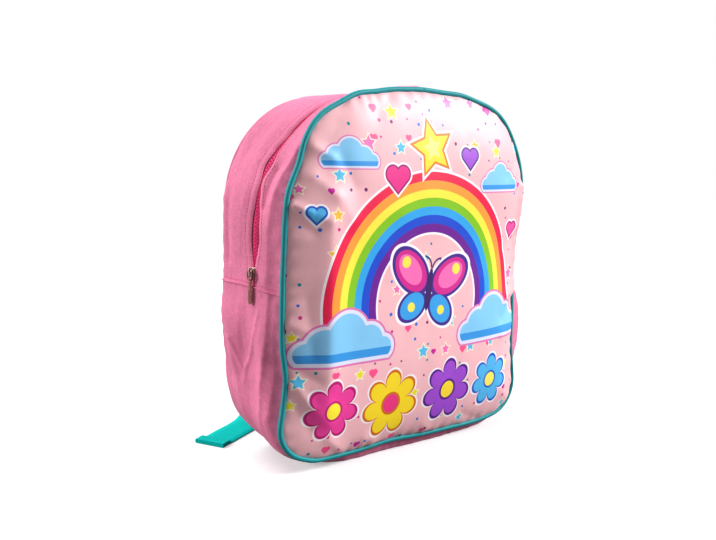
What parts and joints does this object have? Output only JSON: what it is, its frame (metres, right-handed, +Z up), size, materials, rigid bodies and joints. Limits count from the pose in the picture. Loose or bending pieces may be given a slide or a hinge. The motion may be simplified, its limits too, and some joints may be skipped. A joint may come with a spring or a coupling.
{
  "type": "child's backpack",
  "caption": "Soft child's backpack with a piped, puffed front panel, a zip arching over its side band, padded shoulder straps with ladder locks and a hanging loop.",
  "frame": {"origin": "middle of the flat underside that the bag stands on, on the floor", "axes": "+Z up, -Y the way the printed front faces, +X to the right as seen from the front"},
  "size_m": [0.3125, 0.1815, 0.3242],
  "materials": {
    "printed_satin": "coated satin with a printed design",
    "pink_cloth": "fine woven polyester",
    "teal_piping": "smooth covered cord",
    "teal_web": "ribbed webbing",
    "teal_plastic": "moulded",
    "zip_cloth": "woven zip tape",
    "zip_nylon": "nylon coil",
    "bronze": "plated, bronze colour"
  },
  "bodies": {
    "bag": {"front_panel": "printed_satin", "back_panel": "pink_cloth", "front_piping": "teal_piping", "lower_band": "pink_cloth", "front_zip_band": "pink_cloth", "rear_zip_band": "pink_cloth", "zip_coil": "zip_nylon", "zip_tape": "zip_cloth", "zip_slider": "bronze", "shoulder_pad_left": "pink_cloth", "lock_loop_left": "teal_web", "ladder_lock_left": "teal_plastic", "strap_web_left": "teal_web", "shoulder_pad_right": "pink_cloth", "lock_loop_right": "teal_web", "ladder_lock_right": "teal_plastic", "strap_web_right": "teal_web", "hanging_loop": "teal_web"},
    "pull": {"zip_pull": "bronze"}
  },
  "joints": [
    {"name": "pull_swing", "type": "hinge", "parent": "bag", "child": "pull", "pos_m": [-0.15205, -0.01006, 0.1705], "axis": [0, 1, 0], "range_deg": [0, 150]}
  ]
}
